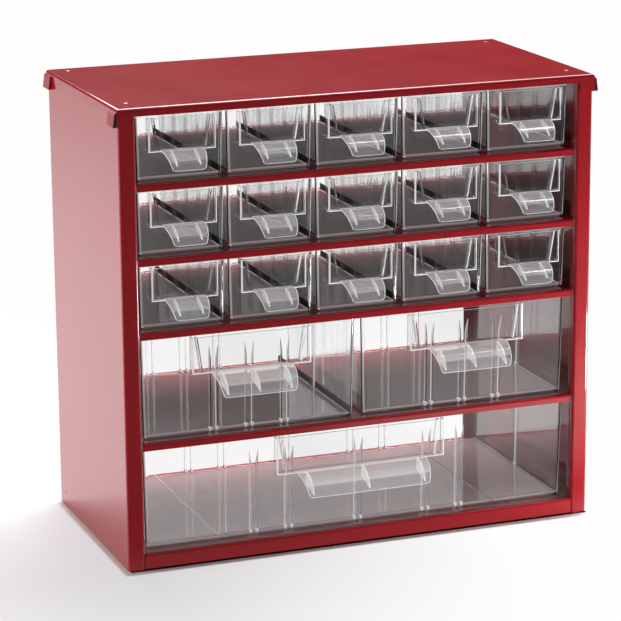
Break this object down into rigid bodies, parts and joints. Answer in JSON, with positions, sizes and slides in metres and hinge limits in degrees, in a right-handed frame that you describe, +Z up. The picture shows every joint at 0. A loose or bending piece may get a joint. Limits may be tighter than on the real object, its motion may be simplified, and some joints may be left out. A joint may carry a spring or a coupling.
{
  "type": "parts bin cabinet",
  "caption": "Bench cabinet of folded red steel with an open back and rows of clear plastic drawers that slide out at the front to sort small parts.",
  "frame": {"origin": "centre of the part's footprint, handles included, on the surface that it stands on", "axes": "+Z up, -Y out of the front where the drawers open, +X to the right as seen from the front"},
  "size_m": [0.3108, 0.1606, 0.282],
  "materials": {
    "red_enamel": "gloss baked enamel",
    "clear_plastic": "clear polished styrene",
    "black_plastic": "satin black"
  },
  "bodies": {
    "cabinet": {"left_side": "red_enamel", "right_side": "red_enamel", "top_cover": "red_enamel", "corner_plugs": "black_plastic", "bottom_shelf": "red_enamel", "shelf_1": "red_enamel", "shelf_2": "red_enamel", "shelf_3": "red_enamel", "shelf_4": "red_enamel"},
    "small_drawer_1": {"small_drawer_1": "clear_plastic"},
    "small_drawer_2": {"small_drawer_2": "clear_plastic"},
    "small_drawer_3": {"small_drawer_3": "clear_plastic"},
    "small_drawer_4": {"small_drawer_4": "clear_plastic"},
    "small_drawer_5": {"small_drawer_5": "clear_plastic"},
    "small_drawer_6": {"small_drawer_6": "clear_plastic"},
    "small_drawer_7": {"small_drawer_7": "clear_plastic"},
    "small_drawer_8": {"small_drawer_8": "clear_plastic"},
    "small_drawer_9": {"small_drawer_9": "clear_plastic"},
    "small_drawer_10": {"small_drawer_10": "clear_plastic"},
    "small_drawer_11": {"small_drawer_11": "clear_plastic"},
    "small_drawer_12": {"small_drawer_12": "clear_plastic"},
    "small_drawer_13": {"small_drawer_13": "clear_plastic"},
    "small_drawer_14": {"small_drawer_14": "clear_plastic"},
    "small_drawer_15": {"small_drawer_15": "clear_plastic"},
    "medium_drawer_left": {"medium_drawer_left": "clear_plastic"},
    "medium_drawer_right": {"medium_drawer_right": "clear_plastic"},
    "large_drawer": {"large_drawer": "clear_plastic"}
  },
  "joints": [
    {"name": "small_drawer_1_slide", "type": "slide", "parent": "cabinet", "child": "small_drawer_1", "axis": [0, -1, 0], "range_m": [0, 0.137]},
    {"name": "small_drawer_2_slide", "type": "slide", "parent": "cabinet", "child": "small_drawer_2", "axis": [0, -1, 0], "range_m": [0, 0.137]},
    {"name": "small_drawer_3_slide", "type": "slide", "parent": "cabinet", "child": "small_drawer_3", "axis": [0, -1, 0], "range_m": [0, 0.137]},
    {"name": "small_drawer_4_slide", "type": "slide", "parent": "cabinet", "child": "small_drawer_4", "axis": [0, -1, 0], "range_m": [0, 0.137]},
    {"name": "small_drawer_5_slide", "type": "slide", "parent": "cabinet", "child": "small_drawer_5", "axis": [0, -1, 0], "range_m": [0, 0.137]},
    {"name": "small_drawer_6_slide", "type": "slide", "parent": "cabinet", "child": "small_drawer_6", "axis": [0, -1, 0], "range_m": [0, 0.137]},
    {"name": "small_drawer_7_slide", "type": "slide", "parent": "cabinet", "child": "small_drawer_7", "axis": [0, -1, 0], "range_m": [0, 0.137]},
    {"name": "small_drawer_8_slide", "type": "slide", "parent": "cabinet", "child": "small_drawer_8", "axis": [0, -1, 0], "range_m": [0, 0.137]},
    {"name": "small_drawer_9_slide", "type": "slide", "parent": "cabinet", "child": "small_drawer_9", "axis": [0, -1, 0], "range_m": [0, 0.137]},
    {"name": "small_drawer_10_slide", "type": "slide", "parent": "cabinet", "child": "small_drawer_10", "axis": [0, -1, 0], "range_m": [0, 0.137]},
    {"name": "small_drawer_11_slide", "type": "slide", "parent": "cabinet", "child": "small_drawer_11", "axis": [0, -1, 0], "range_m": [0, 0.137]},
    {"name": "small_drawer_12_slide", "type": "slide", "parent": "cabinet", "child": "small_drawer_12", "axis": [0, -1, 0], "range_m": [0, 0.137]},
    {"name": "small_drawer_13_slide", "type": "slide", "parent": "cabinet", "child": "small_drawer_13", "axis": [0, -1, 0], "range_m": [0, 0.137]},
    {"name": "small_drawer_14_slide", "type": "slide", "parent": "cabinet", "child": "small_drawer_14", "axis": [0, -1, 0], "range_m": [0, 0.137]},
    {"name": "small_drawer_15_slide", "type": "slide", "parent": "cabinet", "child": "small_drawer_15", "axis": [0, -1, 0], "range_m": [0, 0.137]},
    {"name": "medium_drawer_left_slide", "type": "slide", "parent": "cabinet", "child": "medium_drawer_left", "axis": [0, -1, 0], "range_m": [0, 0.137]},
    {"name": "medium_drawer_right_slide", "type": "slide", "parent": "cabinet", "child": "medium_drawer_right", "axis": [0, -1, 0], "range_m": [0, 0.137]},
    {"name": "large_drawer_slide", "type": "slide", "parent": "cabinet", "child": "large_drawer", "axis": [0, -1, 0], "range_m": [0, 0.137]}
  ]
}
